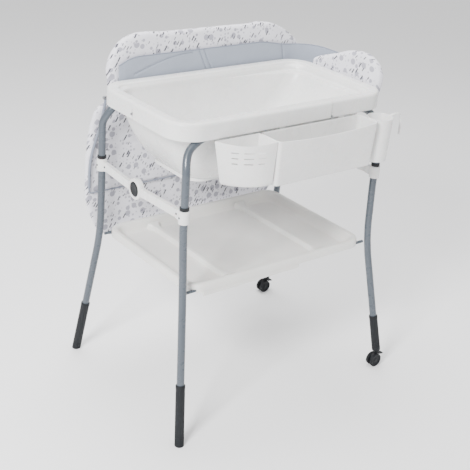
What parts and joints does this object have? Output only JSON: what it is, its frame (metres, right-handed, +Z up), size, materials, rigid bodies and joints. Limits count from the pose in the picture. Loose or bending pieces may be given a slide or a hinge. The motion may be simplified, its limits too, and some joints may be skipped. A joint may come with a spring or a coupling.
{
  "type": "changing table with baby bath",
  "caption": "Free-standing folding changing table: tube legs, lift-out baby bath, front organizer, shelf tray, padded mat hung behind.",
  "frame": {"origin": "on the floor, under the middle of the rectangle that the four leg bends make", "axes": "+Z up, X along the long side with the casters at +X, -Y the front where the organizer hangs"},
  "size_m": [0.8299, 0.63, 1.0469],
  "materials": {
    "painted_steel": "smooth blue-grey gloss paint",
    "white_plastic": "smooth gloss white moulding",
    "cream_plastic": "satin warm white moulding",
    "dark_plastic": "fine matt grain, charcoal",
    "rubber": "matt charcoal rubber",
    "steel": "plain bright steel",
    "printed_fabric": "coated cotton, white with grey dots and short dark dashes",
    "grey_fabric": "plain soft grey knit with quilt lines"
  },
  "bodies": {
    "frame": {"bolster_rear": "printed_fabric", "bolster_right": "printed_fabric", "bow_front": "painted_steel", "bow_rear": "painted_steel", "brace_boss_left": "white_plastic", "brace_boss_right": "white_plastic", "brace_left_front": "white_plastic", "brace_left_rear": "white_plastic", "brace_right_front": "white_plastic", "brace_right_rear": "white_plastic", "clip_front_left": "white_plastic", "clip_front_right": "white_plastic", "clip_rear_left": "white_plastic", "clip_rear_right": "white_plastic", "collar_front_left": "dark_plastic", "collar_front_right": "dark_plastic", "collar_rear_left": "dark_plastic", "collar_rear_right": "dark_plastic", "cross_rod_front": "painted_steel", "cross_rod_rear": "painted_steel", "leg_front_left": "painted_steel", "leg_front_right": "painted_steel", "leg_rear_left": "painted_steel", "leg_rear_right": "painted_steel", "lock_spring_left": "steel", "lock_spring_right": "steel", "mat_bracket_left": "dark_plastic", "mat_bracket_right": "dark_plastic", "mat_hinge_rod": "steel", "mat_lining": "grey_fabric", "organizer_box": "white_plastic", "organizer_hanger_left": "white_plastic", "organizer_hanger_right": "white_plastic", "slatted_box": "white_plastic", "sleeve_front_left": "rubber", "sleeve_front_right": "rubber", "sleeve_rear_left": "rubber", "sleeve_rear_right": "rubber"},
    "bath": {"bath": "white_plastic", "rim_pin_left": "steel", "rim_pin_front": "steel"},
    "drain_plug": {"drain_plug": "white_plastic"},
    "shelf_tray": {"shelf_tray": "cream_plastic"},
    "cup_holder": {"cup_holder": "white_plastic"},
    "mat": {"mat_board": "printed_fabric", "mat_flap": "printed_fabric", "mat_arm_left": "painted_steel", "mat_arm_right": "painted_steel"},
    "lock_button_left": {"lock_button_left": "dark_plastic"},
    "lock_button_right": {"lock_button_right": "dark_plastic"},
    "caster_front": {"caster_housing_front": "dark_plastic", "caster_axle_front": "steel"},
    "caster_brake_front": {"caster_brake_front": "dark_plastic"},
    "caster_wheel_front_outer": {"caster_wheel_front_outer": "rubber"},
    "caster_wheel_front_inner": {"caster_wheel_front_inner": "rubber"},
    "caster_rear": {"caster_housing_rear": "dark_plastic", "caster_axle_rear": "steel"},
    "caster_brake_rear": {"caster_brake_rear": "dark_plastic"},
    "caster_wheel_rear_outer": {"caster_wheel_rear_outer": "rubber"},
    "caster_wheel_rear_inner": {"caster_wheel_rear_inner": "rubber"}
  },
  "joints": [
    {"name": "bath_lift", "type": "slide", "parent": "frame", "child": "bath", "axis": [0, 0, 1], "range_m": [0, 0.2]},
    {"name": "drain_plug_lift", "type": "slide", "parent": "bath", "child": "drain_plug", "axis": [0, 0, 1], "range_m": [0, 0.1]},
    {"name": "shelf_tray_lift", "type": "slide", "parent": "frame", "child": "shelf_tray", "axis": [0, 0, 1], "range_m": [0, 0.08]},
    {"name": "cup_holder_lift", "type": "slide", "parent": "frame", "child": "cup_holder", "axis": [0, 0, 1], "range_m": [0, 0.15]},
    {"name": "mat_swing", "type": "hinge", "parent": "frame", "child": "mat", "pos_m": [0, 0.247, 0.857], "axis": [1, 0, 0], "range_deg": [0, 80]},
    {"name": "lock_button_left_press", "type": "slide", "parent": "frame", "child": "lock_button_left", "axis": [1, 0, 0], "range_m": [0, 0.004], "stiffness_N_per_m": 600, "springref_m": -0.003, "deforming": ["lock_spring_left"]},
    {"name": "lock_button_right_press", "type": "slide", "parent": "frame", "child": "lock_button_right", "axis": [-1, 0, 0], "range_m": [0, 0.004], "stiffness_N_per_m": 600, "springref_m": -0.003, "deforming": ["lock_spring_right"]},
    {"name": "caster_front_swivel", "type": "hinge", "parent": "frame", "child": "caster_front", "pos_m": [0.39778, -0.29196, 0.05], "axis": [0, 0, 1], "continuous": true},
    {"name": "caster_wheel_front_outer_spin", "type": "hinge", "parent": "caster_front", "child": "caster_wheel_front_outer", "pos_m": [0.38978, -0.29196, 0.0225], "axis": [0, 1, 0], "continuous": true},
    {"name": "caster_wheel_front_inner_spin", "type": "hinge", "parent": "caster_front", "child": "caster_wheel_front_inner", "pos_m": [0.38978, -0.29196, 0.0225], "axis": [0, 1, 0], "continuous": true},
    {"name": "caster_brake_front_tilt", "type": "hinge", "parent": "caster_front", "child": "caster_brake_front", "pos_m": [0.40528, -0.29196, 0.0405], "axis": [0, 1, 0], "range_deg": [0, 12]},
    {"name": "caster_rear_swivel", "type": "hinge", "parent": "frame", "child": "caster_rear", "pos_m": [0.39778, 0.29196, 0.05], "axis": [0, 0, 1], "continuous": true},
    {"name": "caster_wheel_rear_outer_spin", "type": "hinge", "parent": "caster_rear", "child": "caster_wheel_rear_outer", "pos_m": [0.38978, 0.29196, 0.0225], "axis": [0, 1, 0], "continuous": true},
    {"name": "caster_wheel_rear_inner_spin", "type": "hinge", "parent": "caster_rear", "child": "caster_wheel_rear_inner", "pos_m": [0.38978, 0.29196, 0.0225], "axis": [0, 1, 0], "continuous": true},
    {"name": "caster_brake_rear_tilt", "type": "hinge", "parent": "caster_rear", "child": "caster_brake_rear", "pos_m": [0.40528, 0.29196, 0.0405], "axis": [0, 1, 0], "range_deg": [0, 12]}
  ]
}
